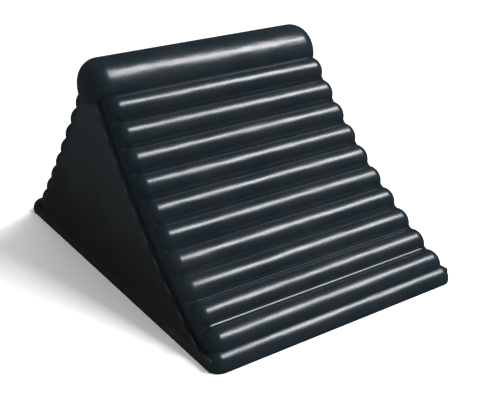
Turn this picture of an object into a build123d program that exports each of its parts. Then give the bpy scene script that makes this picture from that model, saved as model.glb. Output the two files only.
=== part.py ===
"""Moulded rubber wheel chock: a hollow-sided ribbed wedge with a round crown and round toes.

Millimetres, +Z up. X runs along the ribs, Y along the vehicle's travel. The long slope faces -Y.
The origin is the centre of the footprint, on the ground. The whole outer shape is built first, as
round bars laid on a wedge. Flat cuts then part it into the pieces that are laid up in the mould.
"""

import math
import os

from build123d import *

# Driving dimensions
LENGTH = 254.0            # front toe to rear toe
WIDTH = 167.0             # over the ends of the toe bars
HEIGHT = 131.5            # ground to the top of the crown
FRONT_RUN = 142.0         # crown axis to the tip of the front toe

CROWN_RADIUS = 17.6
CROWN_OVERHANG = 2.0      # each crown end stands past the end faces at its height by this much
TOE_RADIUS = 8.0
TOE_AXIS_HEIGHT = 2.0     # the toe bars are more than half round, cut flat by the ground
FRONT_TOE_DEPTH = 4.9     # toe tip to the joint with the tread and the sole
REAR_TOE_DEPTH = 12.0

FRONT_ANGLE = 53.0        # degrees from the ground beside the crown; both slopes are hollow
REAR_ANGLE = 52.8
FRONT_HOLLOW = 390.0      # radius of the hollow, which follows the tyre
REAR_HOLLOW = 1490.0
FRONT_SEAT_ANGLE = 1.1    # degrees below level, from the crown axis to the first valley
REAR_SEAT_ANGLE = 18.0

FRONT_RIBS = 10
REAR_RIBS = 8
RIB_PITCH = 16.0
RIB_HEIGHT = 5.2          # crest above the valleys
TREAD_BACKING = 8.0       # rubber between the valleys and the core
SOLE_THICKNESS = 7.0

END_DRAFT = 7.0           # each end leans in by this much from the ground to the top
RIB_INSET = 2.3           # the ends of the ribs lie behind the drafted ends by this much
BACKING_INSET = 2.6       # and so do the ends of the valleys
CORE_INSET = 0.3          # the core's end faces stand past both, as a low rim
RIB_END_ROUNDING = 7.0
CROWN_END_ROUNDING = 12.0
TOE_END_ROUNDING = 7.0

GROOVE_PITCH = 20.0       # grooves in the underside, along X
GROOVE_WIDTH = 5.0
GROOVE_DEPTH = 2.0
GROOVE_MARGIN = 12.0      # plain rubber left around them

# Derived dimensions
CROWN_Y = FRONT_RUN - LENGTH / 2
CROWN_Z = HEIGHT - CROWN_RADIUS
RIB_RADIUS = ((RIB_PITCH / 2) ** 2 + RIB_HEIGHT**2) / (2 * RIB_HEIGHT)
RIB_AXIS_DEPTH = RIB_RADIUS - RIB_HEIGHT     # the ribs' axes lie this far below the valleys
CLEAR = 2 * CROWN_RADIUS                     # well outside the ribs and the crown
REACH = 2 * LENGTH                           # longer than the chock, for cutting shapes


class Slope:
    """One ribbed side: -1 is the front, +1 the rear. It starts at the valley beside the crown.

    Its line of valleys is an arc, hollow towards the tyre, so it gets flatter on its way down.
    """

    def __init__(self, side, ribs, angle, hollow, seat_angle, toe_depth):
        seat = math.radians(seat_angle)
        self.side = side
        self.ribs = ribs
        self.lean = math.radians(angle)
        self.hollow = hollow
        start_y = CROWN_Y + side * CROWN_RADIUS * math.cos(seat)
        start_z = CROWN_Z - CROWN_RADIUS * math.sin(seat)
        self.centre_y = start_y + side * hollow * math.sin(self.lean)
        self.centre_z = start_z + hollow * math.cos(self.lean)
        self.tip_y = side * LENGTH / 2
        self.toe_y = self.tip_y - side * TOE_RADIUS
        self.foot_y = self.tip_y - side * toe_depth

    def point(self, along, outward):
        """The (y, z) of a place: so far down the arc of valleys, so far out from it."""
        lean = self.lean - along / self.hollow
        radius = self.hollow - outward
        y = self.centre_y - self.side * radius * math.sin(lean)
        z = self.centre_z - radius * math.cos(lean)
        return y, z

    def along_at(self, z, outward):
        """How far down the slope a height is reached, so far out from the arc of valleys."""
        lean = math.acos((self.centre_z - z) / (self.hollow - outward))
        return (self.lean - lean) * self.hollow

    def run(self, z, outward):
        """The arc from beside the crown down to a height, so far out from the valleys."""
        end = self.along_at(z, outward)
        return ThreePointArc(*(self.point(share * end, outward) for share in (0, 0.5, 1)))

    def rib_axes(self):
        """The (y, z) of each rib's axis, from the crown down to the toe bar."""
        return [self.point((i + 0.5) * RIB_PITCH, -RIB_AXIS_DEPTH) for i in range(self.ribs)]


def half_width(z):
    """Half the drafted width at a height."""
    return WIDTH / 2 - END_DRAFT * z / HEIGHT


def long_bar(outline):
    """A very long bar along X with a closed outline in (y, z) as its section."""
    return extrude(make_face(Plane.YZ * outline), REACH / 2, both=True)


def slab(*points):
    """A very long bar along X whose section is a polygon of (y, z) points."""
    return long_bar(Polyline(*points, close=True))


def wedge(slopes, inset, outward, low):
    """A hollow-sided wedge down to a height, ended by faces that lean in with the draft."""
    front, rear = (slope.run(low, outward) for slope in slopes)
    outline = front + Line(front @ 1, rear @ 1) + rear + Line(rear @ 0, front @ 0)
    foot = half_width(0) - inset
    top = half_width(HEIGHT) - inset
    ends = Polyline((-foot, 0), (foot, 0), (top, HEIGHT), (-top, HEIGHT), close=True)
    return long_bar(outline) & extrude(make_face(Plane.XZ * ends), REACH / 2, both=True)


def round_bar(radius, half_length, rounding, y, z):
    """A round bar along X with rounded rims."""
    bar = Cylinder(radius, 2 * half_length, rotation=(0, 90, 0))
    rims = bar.edges().filter_by(GeomType.CIRCLE)
    return Pos(0, y, z) * fillet(rims, rounding)


def make_outside(slopes):
    """The whole outer shape: a wedge up to the valleys, with the crown, toe and rib bars on it."""
    front, rear = slopes
    between_toes = slab(
        (front.foot_y, 0), (rear.foot_y, 0), (rear.foot_y, HEIGHT), (front.foot_y, HEIGHT)
    )
    outside = wedge(slopes, BACKING_INSET, 0, 0) & between_toes
    crown_half = half_width(CROWN_Z) + CROWN_OVERHANG
    bars = [round_bar(CROWN_RADIUS, crown_half, CROWN_END_ROUNDING, CROWN_Y, CROWN_Z)]
    for slope in slopes:
        toe = (slope.toe_y, TOE_AXIS_HEIGHT)
        bars.append(round_bar(TOE_RADIUS, WIDTH / 2, TOE_END_ROUNDING, *toe))
        for y, z in slope.rib_axes():
            bars.append(round_bar(RIB_RADIUS, half_width(z) - RIB_INSET, RIB_END_ROUNDING, y, z))
    for bar in bars:
        outside = outside + bar
    above_ground = slab((-REACH, 0), (REACH, 0), (REACH, HEIGHT), (-REACH, HEIGHT))
    return outside & above_ground


def make_core(slopes):
    """The wedge inside, with the treads on its slopes and the sole under it."""
    return wedge(slopes, CORE_INSET, -TREAD_BACKING, SOLE_THICKNESS)


def make_sole(slopes):
    """The flat pad underneath, between the toe bars, with blind grooves in it."""
    front, rear = slopes
    foot = half_width(0) - CORE_INSET
    top = half_width(SOLE_THICKNESS) - CORE_INSET
    low, high = 0, SOLE_THICKNESS
    ends = Polyline((-foot, low), (foot, low), (top, high), (-top, high), close=True)
    pad = extrude(make_face(Plane.XZ * ends), REACH / 2, both=True)
    pad &= slab((front.foot_y, low), (rear.foot_y, low), (rear.foot_y, high), (front.foot_y, high))
    room = rear.foot_y - front.foot_y - 2 * GROOVE_MARGIN
    grooves = int(room / GROOVE_PITCH) + 1
    middle = (front.foot_y + rear.foot_y) / 2
    first = middle - (grooves - 1) * GROOVE_PITCH / 2
    for index in range(grooves):
        y = first + index * GROOVE_PITCH
        pad -= Pos(0, y, 0) * Box(WIDTH - 2 * GROOVE_MARGIN, GROOVE_WIDTH, 2 * GROOVE_DEPTH)
    return pad


def tread_space(slope):
    """The space for one tread: out from the core, from the crown's seat down to the toe bar."""
    back = slope.run(SOLE_THICKNESS, -TREAD_BACKING)
    top = slope.point(0, CLEAR)
    far = (slope.foot_y, top[1])
    foot = (slope.foot_y, SOLE_THICKNESS)
    return long_bar(back + Polyline(back @ 1, foot, far, top, back @ 0))


def crown_space(slopes):
    """The space for the crown bar: above the core, between the two treads."""
    front, rear = slopes
    return slab(
        front.point(0, -TREAD_BACKING),
        rear.point(0, -TREAD_BACKING),
        rear.point(0, CLEAR),
        (CROWN_Y, HEIGHT + CLEAR),
        front.point(0, CLEAR),
    )


def toe_space(slope):
    """The space for one toe bar: everything beyond its joint."""
    beyond = slope.foot_y + slope.side * CLEAR
    return slab((slope.foot_y, 0), (beyond, 0), (beyond, HEIGHT / 2), (slope.foot_y, HEIGHT / 2))


def main():
    """Builds every piece and writes one STEP file for each."""
    slopes = (
        Slope(-1, FRONT_RIBS, FRONT_ANGLE, FRONT_HOLLOW, FRONT_SEAT_ANGLE, FRONT_TOE_DEPTH),
        Slope(1, REAR_RIBS, REAR_ANGLE, REAR_HOLLOW, REAR_SEAT_ANGLE, REAR_TOE_DEPTH),
    )
    front, rear = slopes
    outside = make_outside(slopes)
    pieces = {
        "core_block": make_core(slopes),
        "sole_pad": make_sole(slopes),
        "front_tread": outside & tread_space(front),
        "rear_tread": outside & tread_space(rear),
        "crown_bar": outside & crown_space(slopes),
        "front_toe_bar": outside & toe_space(front),
        "rear_toe_bar": outside & toe_space(rear),
    }
    os.makedirs("parts", exist_ok=True)
    for name, shape in pieces.items():
        shape.label = name
        export_step(shape, f"parts/{name}.step")
        print(name, "solids", len(shape.solids()), "volume", round(shape.volume))


if __name__ == "__main__":
    main()
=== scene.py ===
"""Moulded rubber wheel chock: ribbed treads, crown and toe bars, core and sole, in a plain studio.

Lengths are in metres, in the frame of the CAD model: +X along the ribs, +Y from the long slope to
the short one, +Z up, and the origin on the ground at the centre of the footprint.
"""

import logging
import math
from dataclasses import dataclass
from enum import Enum

import bmesh
import bpy
from mathutils import Matrix, Vector


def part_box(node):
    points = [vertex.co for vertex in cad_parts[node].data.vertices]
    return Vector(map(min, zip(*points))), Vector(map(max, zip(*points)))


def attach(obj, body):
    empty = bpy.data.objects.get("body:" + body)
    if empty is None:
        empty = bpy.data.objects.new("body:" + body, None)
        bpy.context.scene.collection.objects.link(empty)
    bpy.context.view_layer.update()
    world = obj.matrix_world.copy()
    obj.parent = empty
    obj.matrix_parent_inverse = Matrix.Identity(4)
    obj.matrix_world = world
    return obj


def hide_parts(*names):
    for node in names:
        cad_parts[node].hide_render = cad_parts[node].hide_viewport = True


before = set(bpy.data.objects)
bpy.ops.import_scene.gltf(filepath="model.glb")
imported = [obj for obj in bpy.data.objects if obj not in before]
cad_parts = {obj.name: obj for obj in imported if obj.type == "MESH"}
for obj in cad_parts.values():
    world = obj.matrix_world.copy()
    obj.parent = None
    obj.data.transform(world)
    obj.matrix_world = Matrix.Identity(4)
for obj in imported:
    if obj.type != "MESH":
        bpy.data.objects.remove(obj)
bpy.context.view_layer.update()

LOG = logging.getLogger("chock")
BODY = "root"
MM = 0.001

Colour = tuple[float, float, float]


class Slot(Enum):
    """The record's material slots."""

    CORE = "core_rubber"
    TREAD = "tread_rubber"
    SOLE = "sole_rubber"


# ---------------------------------------------------------------- node trees


class Expr:
    """A socket that takes part in Python arithmetic, by adding Math nodes to its tree."""

    def __init__(self, graph: "Graph", socket: bpy.types.NodeSocket) -> None:
        """Wraps one output socket of a graph."""
        self.graph = graph
        self.socket = socket

    def _math(self, operation: str, *values: "Expr | float") -> "Expr":
        """Adds one Math node.

        Args:
            operation: The Math node's operation.
            values: All its inputs, in order.

        Returns:
            The node's result.
        """
        return self.graph.node("ShaderNodeMath", {"operation": operation}, dict(enumerate(values))).out()

    def __add__(self, other: "Expr | float") -> "Expr":
        """This value plus another."""
        return self._math("ADD", self, other)

    __radd__ = __add__

    def __sub__(self, other: "Expr | float") -> "Expr":
        """This value less another."""
        return self._math("SUBTRACT", self, other)

    def __rsub__(self, other: float) -> "Expr":
        """A number less this value."""
        return self._math("SUBTRACT", other, self)

    def __mul__(self, other: "Expr | float") -> "Expr":
        """This value times another."""
        return self._math("MULTIPLY", self, other)

    __rmul__ = __mul__

    def __truediv__(self, other: "Expr | float") -> "Expr":
        """This value over another."""
        return self._math("DIVIDE", self, other)

    def sqrt(self) -> "Expr":
        """The square root, taken as 0 below 0."""
        return self._math("SQRT", self.at_least(0.0))

    def size(self) -> "Expr":
        """The value without its sign."""
        return self._math("ABSOLUTE", self)

    def whole(self) -> "Expr":
        """The whole number below it."""
        return self._math("FLOOR", self)

    def sine(self) -> "Expr":
        """The sine of an angle in radians."""
        return self._math("SINE", self)

    def cosine(self) -> "Expr":
        """The cosine of an angle in radians."""
        return self._math("COSINE", self)

    def sine_angle(self) -> "Expr":
        """The angle, in radians, that has this sine."""
        return self._math("ARCSINE", self)

    def sign(self) -> "Expr":
        """-1, 0 or 1."""
        return self._math("SIGN", self)

    def at_least(self, other: "Expr | float") -> "Expr":
        """The larger of this value and another."""
        return self._math("MAXIMUM", self, other)

    def at_most(self, other: "Expr | float") -> "Expr":
        """The smaller of this value and another."""
        return self._math("MINIMUM", self, other)

    def blended_max(self, other: "Expr | float", reach: "Expr | float") -> "Expr":
        """The larger of two values, with a rounded hollow where they cross.

        Args:
            other: The other value.
            reach: How far apart the two are where the rounding starts.

        Returns:
            The rounded larger value.
        """
        return self._math("SMOOTH_MAX", self, other, reach)


class Added:
    """A node that has been added to a graph."""

    def __init__(self, graph: "Graph", node: bpy.types.Node) -> None:
        """Keeps the node with its graph."""
        self.graph = graph
        self.node = node

    def out(self, name: str | int = 0) -> Expr:
        """One of its outputs."""
        return Expr(self.graph, self.node.outputs[name])


class Graph:
    """A node tree, and the one way that nodes get into it."""

    def __init__(self, tree: bpy.types.NodeTree) -> None:
        """Empties the tree and wraps it."""
        self.tree = tree
        tree.nodes.clear()

    def node(
        self,
        kind: str,
        settings: dict[str, object] | None = None,
        inputs: dict[str | int, object] | None = None,
    ) -> Added:
        """Adds a node.

        Args:
            kind: The node's type name.
            settings: Its properties, which are set first. "stops" sets a ramp's colours.
            inputs: What its sockets take, by name or place: an Expr is linked, the rest are set.

        Returns:
            The node.
        """
        node = self.tree.nodes.new(kind)
        for name, value in (settings or {}).items():
            if name == "stops":
                self._set_stops(node.color_ramp, value)
            else:
                setattr(node, name, value)
        for name, value in (inputs or {}).items():
            if isinstance(value, Expr):
                self.tree.links.new(value.socket, node.inputs[name])
            else:
                node.inputs[name].default_value = value
        return Added(self, node)

    @staticmethod
    def _set_stops(ramp: bpy.types.ColorRamp, stops: list[tuple[float, Colour]]) -> None:
        """Gives a ramp its stops.

        Args:
            ramp: The ramp.
            stops: Each stop's place, from 0 to 1, and colour.
        """
        while len(ramp.elements) < len(stops):
            ramp.elements.new(1.0)
        for element, (place, colour) in zip(ramp.elements, stops):
            element.position = place
            element.color = (*colour, 1.0)


class ShapeTree(Graph):
    """A geometry tree with named sizes, which turns into a plain mesh."""

    def __init__(self, name: str, sizes: dict[str, float | int]) -> None:
        """Starts the tree.

        Args:
            name: The tree's name.
            sizes: Its named inputs with their values. A whole number makes a whole-number input.
        """
        tree = bpy.data.node_groups.new(name, "GeometryNodeTree")
        super().__init__(tree)
        self.sizes = sizes
        self.identifiers: dict[str, str] = {}
        tree.interface.new_socket("Geometry", in_out="OUTPUT", socket_type="NodeSocketGeometry")
        for size, value in sizes.items():
            kind = "NodeSocketInt" if isinstance(value, int) else "NodeSocketFloat"
            self._add_input(size, kind)
        self._add_input("Material", "NodeSocketMaterial")
        self.given = self.node("NodeGroupInput")

    def _add_input(self, name: str, kind: str) -> None:
        """Adds one named input of a socket type."""
        socket = self.tree.interface.new_socket(name, in_out="INPUT", socket_type=kind)
        self.identifiers[name] = socket.identifier

    def size(self, name: str) -> Expr:
        """One of the named sizes."""
        return self.given.out(name)

    def point(self, x: Expr | float, y: Expr | float, z: Expr | float) -> Expr:
        """A vector from three values."""
        return self.node("ShaderNodeCombineXYZ", None, {0: x, 1: y, 2: z}).out()

    def end(self, geometry: Expr) -> None:
        """Ends the tree with its geometry made real, smooth and given its material."""
        real = self.node("GeometryNodeRealizeInstances", None, {0: geometry}).out()
        smooth = self.node("GeometryNodeSetShadeSmooth", None, {0: real}).out()
        dressed = self.node(
            "GeometryNodeSetMaterial", None, {"Geometry": smooth, "Material": self.size("Material")}
        ).out()
        self.node("NodeGroupOutput", None, {0: dressed})

    def mesh(self, name: str, material: bpy.types.Material) -> bpy.types.Mesh:
        """Runs the tree once.

        Args:
            name: The mesh's name.
            material: What its Material input takes.

        Returns:
            The result as a plain mesh.
        """
        holder = bpy.data.objects.new(name, bpy.data.meshes.new(name))
        bpy.context.scene.collection.objects.link(holder)
        modifier = holder.modifiers.new("Shape", "NODES")
        modifier.node_group = self.tree
        for size, value in {**self.sizes, "Material": material}.items():
            modifier[self.identifiers[size]] = value
        holder.update_tag()
        graph = bpy.context.evaluated_depsgraph_get()
        graph.update()
        mesh = bpy.data.meshes.new_from_object(holder.evaluated_get(graph))
        mesh.name = name
        bpy.data.objects.remove(holder)
        return mesh


# ---------------------------------------------------------------- finishes


class Finish(Graph):
    """The node tree of one material, with the patterns that every rubber here is made from."""

    def __init__(self, name: str) -> None:
        """Starts a material of that name."""
        self.material = bpy.data.materials.new(name)
        self.material.use_nodes = True
        super().__init__(self.material.node_tree)
        self.place = self.node("ShaderNodeTexCoord").out("Object")

    def noise(self, per_metre: float, detail: float = 3.0, squeeze: Colour = (1.0, 1.0, 1.0)) -> Expr:
        """A noise pattern fixed to the piece.

        Args:
            per_metre: How many blotches there are in a metre.
            detail: How many finer layers it has.
            squeeze: How much finer it is along each axis.

        Returns:
            The pattern, about 0.3 to 0.7.
        """
        where = self.node("ShaderNodeMapping", None, {"Vector": self.place, "Scale": squeeze}).out()
        settings = {"noise_dimensions": "3D"}
        inputs = {"Vector": where, "Scale": per_metre, "Detail": detail}
        return self.node("ShaderNodeTexNoise", settings, inputs).out()

    def ramp(self, value: Expr, stops: list[tuple[float, Colour]]) -> Expr:
        """A value turned into colours by a list of stops."""
        return self.node("ShaderNodeValToRGB", {"stops": stops}, {0: value}).out()

    def level(self, value: Expr, low: float, high: float) -> Expr:
        """A value spread so that it is 0 at low and 1 at high, and held between."""
        inputs = {"Value": value, "From Min": low, "From Max": high}
        return self.node("ShaderNodeMapRange", {"clamp": True}, inputs).out()

    def mix(self, share: Expr, first: Expr | Colour, second: Expr | Colour) -> Expr:
        """One colour going over into another.

        Args:
            share: How much there is of the second.
            first: The colour at 0.
            second: The colour at 1.

        Returns:
            The mixed colour.
        """
        values = [c if isinstance(c, Expr) else (*c, 1.0) for c in (first, second)]
        inputs = {0: share, 6: values[0], 7: values[1]}
        return self.node("ShaderNodeMix", {"data_type": "RGBA"}, inputs).out(2)

    def height(self) -> Expr:
        """How high a place is above the ground, in metres."""
        return self.node("ShaderNodeSeparateXYZ", None, {0: self.place}).out("Z")

    def bump(self, height: Expr, depth: float, onto: Expr | None = None) -> Expr:
        """A relief in the surface.

        Args:
            height: The relief, from 0 to 1.
            depth: The depth of 1, in metres.
            onto: Another relief that this one lies on.

        Returns:
            The normal.
        """
        inputs = {"Height": height, "Distance": depth, "Strength": 1.0}
        if onto is not None:
            inputs["Normal"] = onto
        return self.node("ShaderNodeBump", None, inputs).out()

    def surface(self, **sockets: object) -> bpy.types.Material:
        """Ends the material.

        Args:
            sockets: What the shader's sockets take, with _ for each space in a name.

        Returns:
            The finished material.
        """
        inputs = {name.replace("_", " "): value for name, value in sockets.items()}
        shader = self.node("ShaderNodeBsdfPrincipled", None, inputs).out()
        self.node("ShaderNodeOutputMaterial", None, {"Surface": shader})
        return self.material


@dataclass(frozen=True)
class TreadRubber:
    """The shiny blue-black skin of the ribs and the bars, as a polished mould leaves it."""

    base: Colour = (0.0050, 0.0100, 0.0135)
    dust: Colour = (0.0105, 0.0155, 0.0175)
    polish: float = 0.24
    scuffed: float = 0.36
    sheen_level: float = 0.30

    def make(self) -> bpy.types.Material:
        """The material."""
        finish = Finish(Slot.TREAD.value)
        patches = finish.level(finish.noise(38.0, 4.0), 0.38, 0.68)
        streaks = finish.level(finish.noise(70.0, 3.0, (0.35, 2.2, 2.2)), 0.35, 0.70)
        grain = finish.noise(1300.0, 3.0)
        ripple = finish.noise(60.0, 2.0, (0.5, 1.5, 1.5))
        specks = finish.level(finish.noise(420.0, 2.0), 0.66, 0.78)
        colour = finish.mix(patches * 0.55 + specks * 0.4, self.base, self.dust)
        dulled = patches * 0.35 + streaks * 0.45 + specks * 0.5
        roughness = self.polish + dulled * (self.scuffed - self.polish) + grain * 0.03
        relief = finish.bump(grain, 0.05 * MM, finish.bump(ripple, 0.5 * MM))
        return finish.surface(
            Base_Color=colour,
            Roughness=roughness,
            Specular_IOR_Level=self.sheen_level,
            Normal=relief,
        )


@dataclass(frozen=True)
class CoreRubber:
    """The matt end faces, with painted light and shade: lighter and bluer towards the top, darker near
    the ground.
    """

    # painted light at the top, painted shade at the foot, ramped between by height
    lit_top_colour: Colour = (0.0125, 0.0235, 0.0310)
    half_lit_colour: Colour = (0.0135, 0.0185, 0.0185)
    shaded_foot_colour: Colour = (0.0090, 0.0105, 0.0090)
    # the heights over which the painted shade at the foot turns into the painted light at the top
    low: float = 0.020
    high: float = 0.105
    roughness: float = 0.62
    sheen_level: float = 0.25

    def make(self) -> bpy.types.Material:
        """The material."""
        finish = Finish(Slot.CORE.value)
        clouds = finish.noise(22.0, 4.0)
        grain = finish.noise(900.0, 4.0)
        pits = finish.level(finish.noise(300.0, 2.0), 0.62, 0.75)
        # painted light and shade: the colour ramps with height from the dark foot near the ground to the
        # lighter, bluer top
        rise = finish.level(finish.height() + (clouds - 0.5) * 0.05, self.low, self.high)
        painted_light_tint = finish.ramp(rise, [(0.0, self.shaded_foot_colour), (0.45, self.half_lit_colour), (1.0, self.lit_top_colour)])
        # the pits, dents in the relief, are darkened towards the same dark foot colour
        colour = finish.mix(pits * 0.35, painted_light_tint, self.shaded_foot_colour)
        roughness = self.roughness + (clouds - 0.5) * 0.25 + (grain - 0.5) * 0.12
        relief = finish.bump(grain - pits * 0.6, 0.12 * MM, finish.bump(clouds, 0.6 * MM))
        return finish.surface(
            Base_Color=colour,
            Roughness=roughness,
            Specular_IOR_Level=self.sheen_level,
            Normal=relief,
        )


@dataclass(frozen=True)
class SoleRubber:
    """The matt grooved underside, scuffed by the ground."""

    base: Colour = (0.0110, 0.0125, 0.0125)
    scuff: Colour = (0.0300, 0.0290, 0.0270)
    roughness: float = 0.72

    def make(self) -> bpy.types.Material:
        """The material."""
        finish = Finish(Slot.SOLE.value)
        clouds = finish.noise(30.0, 4.0)
        scratches = finish.level(finish.noise(90.0, 4.0, (4.0, 0.5, 1.0)), 0.56, 0.72)
        grain = finish.noise(800.0, 4.0)
        colour = finish.mix(scratches * 0.7 * clouds, self.base, self.scuff)
        roughness = self.roughness + (clouds - 0.5) * 0.2 + scratches * 0.08
        relief = finish.bump(grain, 0.15 * MM, finish.bump(scratches, 0.05 * MM))
        return finish.surface(
            Base_Color=colour,
            Roughness=roughness,
            Specular_IOR_Level=0.3,
            Normal=relief,
        )


@dataclass(frozen=True)
class FloorPaint:
    """The plain pale floor."""

    base: Colour = (0.86, 0.865, 0.87)
    roughness: float = 0.75

    def make(self) -> bpy.types.Material:
        """The material."""
        finish = Finish("floor_paint")
        clouds = finish.noise(1.5, 3.0)
        grain = finish.noise(200.0, 3.0)
        shade = tuple(channel * 0.97 for channel in self.base)
        return finish.surface(
            Base_Color=finish.mix(clouds, self.base, shade),
            Roughness=self.roughness + (grain - 0.5) * 0.1,
            Specular_IOR_Level=0.2,
        )


# ---------------------------------------------------------------- the chock's section


@dataclass(frozen=True)
class Section:
    """What all pieces share: the crown's and toes' places, read from the CAD, and the end faces."""

    toe_radius: float = 8.0 * MM
    end_draft: float = 7.0 * MM
    backing: float = 8.0 * MM
    core_inset: float = 0.3 * MM
    rib_inset: float = 2.3 * MM

    @property
    def crown_radius(self) -> float:
        """Half the crown bar's depth."""
        low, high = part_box("crown_bar")
        return (high.y - low.y) / 2

    @property
    def crown_axis(self) -> tuple[float, float]:
        """The (y, z) of the crown bar's axis."""
        low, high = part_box("crown_bar")
        return (low.y + high.y) / 2, high.z - self.crown_radius

    @property
    def height(self) -> float:
        """The ground to the top of the crown."""
        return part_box("crown_bar")[1].z

    @property
    def half_width(self) -> float:
        """Half the width on the ground."""
        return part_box("rear_toe_bar")[1].x

    @property
    def toe_axis_height(self) -> float:
        """The ground to the axes of the toe bars."""
        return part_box("rear_toe_bar")[1].z - self.toe_radius

    @property
    def sole_top(self) -> float:
        """The height of the sole pad's upper face."""
        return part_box("sole_pad")[1].z

    def half_width_at(self, z: float) -> float:
        """Half the drafted width at a height."""
        return self.half_width - self.end_draft * z / self.height


@dataclass(frozen=True)
class Slope:
    """One side of the wedge, an arc hollow towards the tyre, from beside the crown to the toe."""

    section: Section
    side: int
    angle: float
    hollow: float
    seat_angle: float

    @property
    def lean(self) -> float:
        """How steep it is beside the crown, in radians."""
        return math.radians(self.angle)

    @property
    def centre(self) -> Vector:
        """The (y, z) of the middle of the arc that the valleys lie on."""
        seat = math.radians(self.seat_angle)
        y, z = self.section.crown_axis
        radius = self.section.crown_radius
        start = Vector((y + self.side * radius * math.cos(seat), z - radius * math.sin(seat)))
        return start + self.hollow * Vector((self.side * math.sin(self.lean), math.cos(self.lean)))

    def point(self, along: float, outward: float) -> Vector:
        """The (y, z) of a place so far down the arc of valleys and so far out from it."""
        lean = self.lean - along / self.hollow
        back = Vector((self.side * math.sin(lean), math.cos(lean)))
        return self.centre - (self.hollow - outward) * back

    def along_at(self, z: float, outward: float) -> float:
        """How far down the slope a height is reached, so far out from the arc of valleys."""
        lean = math.acos((self.centre[1] - z) / (self.hollow - outward))
        return (self.lean - lean) * self.hollow


# ---------------------------------------------------------------- pieces


def add_piece(
    name: str, mesh: bpy.types.Mesh, node: str, sharp: float = 40.0
) -> bpy.types.Object:
    """Puts a finished mesh into the scene in place of its CAD node.

    Args:
        name: The piece's name.
        mesh: Its mesh, already in place.
        node: The CAD node that it stands for.
        sharp: Edges that turn by more than this many degrees stay crisp.

    Returns:
        The piece.
    """
    mesh.set_sharp_from_angle(angle=math.radians(sharp))
    piece = bpy.data.objects.new(name, mesh)
    bpy.context.scene.collection.objects.link(piece)
    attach(piece, BODY)
    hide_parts(node)
    LOG.info("%s: %d faces, for %s", name, len(mesh.polygons), node)
    return piece


@dataclass(frozen=True)
class RibbedTread:
    """The facing of one slope: round ribs side by side, whose domed ends roll over into shadow.

    The ends lie a little behind the core's end faces, which stand past them as a low rim.
    """

    node: str
    slope: Slope
    material: bpy.types.Material
    ribs: int
    run: float
    pitch: float = 16.0 * MM
    rib_height: float = 5.2 * MM
    end_rounding: float = 7.0 * MM
    valley_inset: float = 0.3 * MM
    valley_blend: float = 1.2 * MM
    edge_roll: float = 5.0 * MM
    columns: int = 57
    rows_per_rib: int = 24
    layers: int = 9

    def tree(self) -> ShapeTree:
        """Builds the tree: a slab of vertices whose places follow the ribs' rule.

        Returns:
            The tree, ready to be run.
        """
        section = self.slope.section
        radius = ((self.pitch / 2) ** 2 + self.rib_height**2) / (2 * self.rib_height)
        tree = ShapeTree(
            self.node,
            {
                "Columns": self.columns,
                "Rows": round(self.rows_per_rib * self.run / self.pitch),
                "Layers": self.layers,
                "Ribs": self.ribs,
                "Run": self.run,
                "Pitch": self.pitch,
                "Rib Radius": radius,
                "Axis Depth": radius - self.rib_height,
                "End Rounding": self.end_rounding,
                "Valley Inset": self.valley_inset,
                "Valley Blend": self.valley_blend,
                "Edge Roll": self.edge_roll,
                "Backing": section.backing,
                "Side": float(self.slope.side),
                "Lean": self.slope.lean,
                "Hollow": self.slope.hollow,
                "Centre Y": self.slope.centre[0],
                "Centre Z": self.slope.centre[1],
                "Half Width": section.half_width - section.rib_inset,
                "Draft": section.end_draft / section.height,
                "Lowest": section.sole_top,
            },
        )
        counts = {"Vertices X": tree.size("Columns"), "Vertices Y": tree.size("Rows")}
        counts.update({"Vertices Z": tree.size("Layers"), "Size": (1.0, 1.0, 1.0)})
        slab = tree.node("GeometryNodeMeshCube", None, counts).out("Mesh")
        place = self._place(tree)
        moved = tree.node("GeometryNodeSetPosition", None, {"Geometry": slab, "Position": place})
        tree.end(moved.out())
        return tree

    @staticmethod
    def _place(tree: ShapeTree) -> Expr:
        """Where each vertex of the slab goes.

        Args:
            tree: The tree that the slab is in.

        Returns:
            The place as a vector.
        """
        here = tree.node("GeometryNodeInputPosition").out()
        parts = tree.node("ShaderNodeSeparateXYZ", None, {0: here})
        across, along, up = parts.out("X"), parts.out("Y") + 0.5, parts.out("Z") + 0.5
        reach = across.size() * 2.0
        level = (reach * 2.0).at_most(1.0)
        bend = (reach * 2.0 - 1.0).at_least(0.0)

        radius, rounding = tree.size("Rib Radius"), tree.size("End Rounding")
        depth, inset = tree.size("Axis Depth"), tree.size("Valley Inset")
        travel = along * tree.size("Run")
        rib = (travel / tree.size("Pitch")).whole().at_most(tree.size("Ribs") - 1.0)
        offset = travel - (rib + 0.5) * tree.size("Pitch")

        from_axis = (offset * offset + depth * depth).sqrt()
        bulge = ((from_axis - radius + rounding) / rounding).at_least(0.0).at_most(1.0)
        retreat = (rounding * (1.0 - (1.0 - bulge * bulge).sqrt())).at_most(inset)

        swing = bend * (1.0 - retreat / rounding).sine_angle()
        thin = radius - rounding * (1.0 - swing.cosine())
        crest = (thin * thin - offset * offset).sqrt() - depth
        roll = tree.size("Edge Roll")
        turned = (1.0 - rounding * (1.0 - swing.sine()) / roll).at_least(0.0)
        floor = roll * ((1.0 - turned * turned).sqrt() - 1.0)
        surface = crest.blended_max(floor, tree.size("Valley Blend"))
        outward = surface * up - tree.size("Backing") * (1.0 - up)

        side, hollow = tree.size("Side"), tree.size("Hollow")
        lean = tree.size("Lean") - travel / hollow
        y = tree.size("Centre Y") - side * (hollow - outward) * lean.sine()
        z = (tree.size("Centre Z") - (hollow - outward) * lean.cosine()).at_least(tree.size("Lowest"))
        half = tree.size("Half Width") - tree.size("Draft") * z
        x = level * (half - rounding) + rounding * swing.sine()
        return tree.point(x * across.sign() * side, y, z)

    def build(self) -> bpy.types.Object:
        """The piece."""
        mesh = self.tree().mesh(self.node, self.material)
        return add_piece(f"{self.node}_ribs", mesh, self.node)


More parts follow.
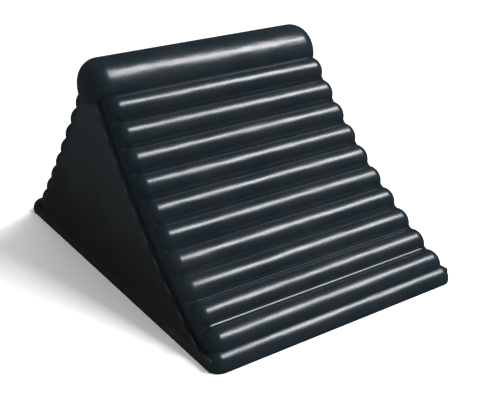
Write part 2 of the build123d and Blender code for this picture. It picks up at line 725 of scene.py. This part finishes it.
@dataclass(frozen=True)
class RoundBar:
    """A round bar along X with domed ends, cut off below: a toe by the ground, the crown by its seat."""

    node: str
    material: bpy.types.Material
    axis_y: float
    axis_z: float
    radius: float
    half_length: float
    rounding: float
    sides: int = 112
    lowest: tuple[tuple[float, float], ...] = ((0.0, 0.0),)
    end_rings: int = 14
    middle_rings: int = 24

    def lowest_at(self, y: float) -> float:
        """The height of the line that cuts the bar off below, level beyond the line's two ends."""
        if y <= self.lowest[0][0]:
            return self.lowest[0][1]
        for (y0, z0), (y1, z1) in zip(self.lowest, self.lowest[1:]):
            if y <= y1:
                return z0 + (z1 - z0) * (y - y0) / (y1 - y0)
        return self.lowest[-1][1]

    def stations(self) -> list[tuple[float, float]]:
        """The rings along the bar, each an x and a radius."""
        level = self.half_length - self.rounding
        rings = []
        for step in range(self.end_rings):
            swing = (math.pi / 2) * (1 - step / self.end_rings)
            shrink = self.rounding * (1 - math.cos(swing))
            rings.append((-level - self.rounding * math.sin(swing), self.radius - shrink))
        for step in range(self.middle_rings + 1):
            rings.append((-level + 2 * level * step / self.middle_rings, self.radius))
        ends = [(-x, radius) for x, radius in reversed(rings[: self.end_rings])]
        return rings + ends

    def mesh(self) -> bpy.types.Mesh:
        """The bar's mesh: rings joined by strips, with a fan of faces closing each end."""
        shape = bmesh.new()
        rings = []
        for x, radius in self.stations():
            ring = []
            for step in range(self.sides):
                turn = math.tau * step / self.sides
                y = self.axis_y + radius * math.cos(turn)
                z = max(self.axis_z + radius * math.sin(turn), self.lowest_at(y))
                ring.append(shape.verts.new((x, y, z)))
            rings.append(ring)
        for ring, following in zip(rings, rings[1:]):
            for step in range(self.sides):
                after = (step + 1) % self.sides
                shape.faces.new((ring[step], following[step], following[after], ring[after]))
        for ring in (rings[0], rings[-1]):
            centre = shape.verts.new((ring[0].co.x, self.axis_y, self.axis_z))
            for step in range(self.sides):
                shape.faces.new((ring[step], ring[(step + 1) % self.sides], centre))
        bmesh.ops.remove_doubles(shape, verts=shape.verts, dist=0.001 * MM)
        bmesh.ops.recalc_face_normals(shape, faces=shape.faces)
        for face in shape.faces:
            face.smooth = True
        mesh = bpy.data.meshes.new(self.node)
        shape.to_mesh(mesh)
        shape.free()
        mesh.materials.append(self.material)
        return mesh

    def build(self) -> bpy.types.Object:
        """The piece."""
        return add_piece(f"{self.node}_round", self.mesh(), self.node)


@dataclass(frozen=True)
class CoreBlock:
    """The wedge inside, whose matt end faces show beside the treads."""

    front: Slope
    rear: Slope
    material: bpy.types.Material
    node: str = "core_block"
    steps: int = 24

    def build(self) -> bpy.types.Object:
        """The piece."""
        section = self.front.section
        depth = -section.backing
        runs = []
        for slope in (self.front, self.rear):
            end = slope.along_at(section.sole_top, depth)
            steps = range(self.steps + 1)
            runs.append([slope.point(end * step / self.steps, depth) for step in steps])
        outline = runs[0] + runs[1][::-1]
        shape = bmesh.new()
        ends = []
        for side in (-1, 1):
            halves = [section.half_width_at(z) - section.core_inset for _, z in outline]
            corners = zip(outline, halves)
            ends.append([shape.verts.new((side * half, y, z)) for (y, z), half in corners])
        shape.faces.new(ends[0])
        shape.faces.new(ends[1])
        for index in range(len(outline)):
            after = (index + 1) % len(outline)
            shape.faces.new((ends[0][index], ends[1][index], ends[1][after], ends[0][after]))
        bmesh.ops.recalc_face_normals(shape, faces=shape.faces)
        for face in shape.faces:
            face.smooth = True
        mesh = bpy.data.meshes.new(self.node)
        shape.to_mesh(mesh)
        shape.free()
        mesh.materials.append(self.material)
        return add_piece("core_wedge", mesh, self.node, sharp=30.0)


@dataclass(frozen=True)
class SolePad:
    """The thin pad underneath, with blind grooves across it."""

    section: Section
    material: bpy.types.Material
    node: str = "sole_pad"
    groove_pitch: float = 20.0 * MM
    groove_width: float = 5.0 * MM
    groove_depth: float = 2.0 * MM
    margin: float = 12.0 * MM

    def tree(self) -> ShapeTree:
        """Builds the tree: a pad, less a row of groove cutters.

        Returns:
            The tree, ready to be run.
        """
        low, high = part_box(self.node)
        room = high.y - low.y - 2 * self.margin
        grooves = int(room / self.groove_pitch) + 1
        tree = ShapeTree(
            self.node,
            {
                "Half Width": high.x,
                "Length": high.y - low.y,
                "Middle": (high.y + low.y) / 2,
                "Thickness": high.z,
                "Draft": self.section.end_draft / self.section.height,
                "Grooves": grooves,
                "Groove Pitch": self.groove_pitch,
                "Groove Width": self.groove_width,
                "Groove Depth": self.groove_depth,
                "Groove Length": 2 * (self.section.half_width - self.margin),
            },
        )
        thick, half = tree.size("Thickness"), tree.size("Half Width")
        box = tree.point(half * 2.0, tree.size("Length"), thick)
        counts = {"Vertices X": 2, "Vertices Y": 2, "Vertices Z": 2}
        pad = tree.node("GeometryNodeMeshCube", None, {"Size": box, **counts}).out("Mesh")
        here = tree.node("GeometryNodeInputPosition").out()
        parts = tree.node("ShaderNodeSeparateXYZ", None, {0: here})
        rise = parts.out("Z") + thick * 0.5
        x = parts.out("X").sign() * (half - tree.size("Draft") * rise)
        place = tree.point(x, parts.out("Y") + tree.size("Middle"), rise)
        pad = tree.node("GeometryNodeSetPosition", None, {"Geometry": pad, "Position": place}).out()
        first = tree.size("Middle") - (tree.size("Grooves") - 1.0) * tree.size("Groove Pitch") * 0.5
        line = tree.node(
            "GeometryNodeMeshLine",
            None,
            {
                "Count": tree.size("Grooves"),
                "Start Location": tree.point(0.0, first, 0.0),
                "Offset": tree.point(0.0, tree.size("Groove Pitch"), 0.0),
            },
        ).out()
        size = tree.point(
            tree.size("Groove Length"), tree.size("Groove Width"), tree.size("Groove Depth") * 2.0
        )
        cutter = tree.node("GeometryNodeMeshCube", None, {"Size": size, **counts}).out("Mesh")
        copies = {"Points": line, "Instance": cutter}
        cutters = tree.node("GeometryNodeInstanceOnPoints", None, copies).out()
        real = tree.node("GeometryNodeRealizeInstances", None, {0: cutters}).out()
        cut = tree.node(
            "GeometryNodeMeshBoolean",
            {"operation": "DIFFERENCE", "solver": "EXACT"},
            {"Mesh 1": pad, "Mesh 2": real},
        )
        tree.end(cut.out())
        return tree

    def build(self) -> bpy.types.Object:
        """The piece."""
        mesh = self.tree().mesh(self.node, self.material)
        return add_piece("sole_grooved", mesh, self.node, sharp=20.0)


@dataclass(frozen=True)
class Chock:
    """The whole chock."""

    section: Section
    toe_rounding: float = 7.0 * MM
    crown_rounding: float = 12.0 * MM

    def toe(self, node: str, side: int, material: bpy.types.Material) -> RoundBar:
        """One toe bar.

        Args:
            node: Its CAD node.
            side: -1 for the front, 1 for the rear.
            material: Its finish.

        Returns:
            The bar.
        """
        low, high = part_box(node)
        radius = self.section.toe_radius
        tip = low.y if side < 0 else high.y
        return RoundBar(
            node,
            material,
            tip - side * radius,
            self.section.toe_axis_height,
            radius,
            high.x,
            self.toe_rounding,
        )

    def build(self) -> None:
        """Builds every piece."""
        section = self.section
        tread, core, sole = TreadRubber().make(), CoreRubber().make(), SoleRubber().make()
        front = Slope(section, side=-1, angle=53.0, hollow=390.0 * MM, seat_angle=1.1)
        rear = Slope(section, side=1, angle=52.8, hollow=1490.0 * MM, seat_angle=18.0)
        RibbedTread("front_tread", front, tread, ribs=10, run=161.0 * MM).build()
        RibbedTread("rear_tread", rear, tread, ribs=8, run=132.0 * MM).build()
        crown_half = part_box("crown_bar")[1].x
        seat = (
            front.point(0.0, 0.0),
            front.point(0.0, -section.backing),
            rear.point(0.0, -section.backing),
            rear.point(0.0, 0.0),
        )
        RoundBar(
            "crown_bar",
            tread,
            *section.crown_axis,
            section.crown_radius,
            crown_half,
            self.crown_rounding,
            lowest=tuple((point[0], point[1]) for point in seat),
        ).build()
        self.toe("front_toe_bar", -1, tread).build()
        self.toe("rear_toe_bar", 1, tread).build()
        CoreBlock(front, rear, core).build()
        SolePad(section, sole).build()


# ---------------------------------------------------------------- the studio


@dataclass(frozen=True)
class SoftBox:
    """A soft rectangular lamp that faces the chock."""

    name: str
    toward: tuple[float, float, float]
    distance: float
    width: float
    height: float
    watts: float
    colour: Colour = (1.0, 1.0, 1.0)

    def hang(self, aim: Vector) -> bpy.types.Object:
        """Hangs the lamp with its long side level.

        Args:
            aim: The place that it faces.

        Returns:
            The lamp.
        """
        lamp = bpy.data.lights.new(self.name, "AREA")
        lamp.shape = "RECTANGLE"
        lamp.size = self.width
        lamp.size_y = self.height
        lamp.energy = self.watts
        lamp.color = self.colour
        held = bpy.data.objects.new(self.name, lamp)
        back = Vector(self.toward).normalized()
        across = Vector((1.0, 0.0, 0.0))
        across = (across - across.dot(back) * back).normalized()
        turn = Matrix((across, back.cross(across), back)).transposed()
        held.matrix_world = Matrix.Translation(aim + back * self.distance) @ turn.to_4x4()
        held.visible_camera = False
        bpy.context.scene.collection.objects.link(held)
        return held


@dataclass(frozen=True)
class Camera:
    """The camera, set by where it looks, how far away it is and how it is turned."""

    aim: tuple[float, float, float] = (0.01424, -0.01102, 0.02063)
    yaw: float = 32.96
    pitch: float = 24.64
    roll: float = -1.53
    distance: float = 0.5537
    lens: float = 64.05
    shift: tuple[float, float] = (-0.0167, 0.0227)

    def place(self) -> bpy.types.Object:
        """Makes the camera and gives it to the scene."""
        yaw, pitch, roll = (math.radians(a) for a in (self.yaw, self.pitch, self.roll))
        right = Vector((math.cos(yaw), -math.sin(yaw), 0.0))
        level = Vector((math.sin(yaw), math.cos(yaw), 0.0))
        ahead = level * math.cos(pitch) - Vector((0.0, 0.0, math.sin(pitch)))
        up = right.cross(ahead)
        right, up = (
            right * math.cos(roll) + up * math.sin(roll),
            up * math.cos(roll) - right * math.sin(roll),
        )
        data = bpy.data.cameras.new("camera")
        data.lens = self.lens
        data.shift_x, data.shift_y = self.shift
        data.clip_start = 0.01
        camera = bpy.data.objects.new("camera", data)
        turn = Matrix((right, up, -ahead)).transposed()
        where = Vector(self.aim) - ahead * self.distance
        camera.matrix_world = Matrix.Translation(where) @ turn.to_4x4()
        bpy.context.scene.collection.objects.link(camera)
        bpy.context.scene.camera = camera
        return camera


@dataclass(frozen=True)
class Studio:
    """A pale floor, pale surroundings, one long soft lamp above the slope and a camera."""

    floor_size: float = 40.0
    backdrop: Colour = (0.93, 0.94, 0.95)
    fill: float = 0.85
    gleam: float = 0.06
    lamps: tuple[SoftBox, ...] = (
        SoftBox("long_soft_box", (0.50, -0.39, 0.77), 1.6, 0.90, 0.42, 48.0, (0.97, 0.98, 1.0)),
    )

    def lay_floor(self) -> None:
        """Lays the floor."""
        half = self.floor_size / 2
        mesh = bpy.data.meshes.new("floor")
        corners = [(-half, -half, 0), (half, -half, 0), (half, half, 0), (-half, half, 0)]
        mesh.from_pydata(corners, [], [(0, 1, 2, 3)])
        mesh.materials.append(FloorPaint().make())
        floor = bpy.data.objects.new("floor", mesh)
        bpy.context.scene.collection.objects.link(floor)
        floor.visible_glossy = False

    def surround(self) -> None:
        """Makes the surroundings: pale to look at, soft as fill light, dim in reflections."""
        world = bpy.data.worlds.new("surroundings")
        world.use_nodes = True
        graph = Graph(world.node_tree)
        path = graph.node("ShaderNodeLightPath")
        seen, mirrored = path.out("Is Camera Ray"), path.out("Is Glossy Ray")
        strength = seen + (1.0 - seen) * (mirrored * self.gleam + (1.0 - mirrored) * self.fill)
        inputs = {"Color": (*self.backdrop, 1.0), "Strength": strength}
        light = graph.node("ShaderNodeBackground", None, inputs).out()
        graph.node("ShaderNodeOutputWorld", None, {"Surface": light})
        bpy.context.scene.world = world

    def build(self) -> None:
        """Sets up everything around the chock."""
        self.lay_floor()
        self.surround()
        for lamp in self.lamps:
            lamp.hang(Vector((0.0, -0.03, 0.06)))
        Camera().place()
        bpy.context.scene.view_settings.view_transform = "Standard"


def main() -> None:
    """Builds the chock and the studio."""
    logging.basicConfig(level=logging.INFO, format="%(name)s %(message)s")
    Chock(Section()).build()
    Studio().build()


if __name__ == "__main__":
    main()
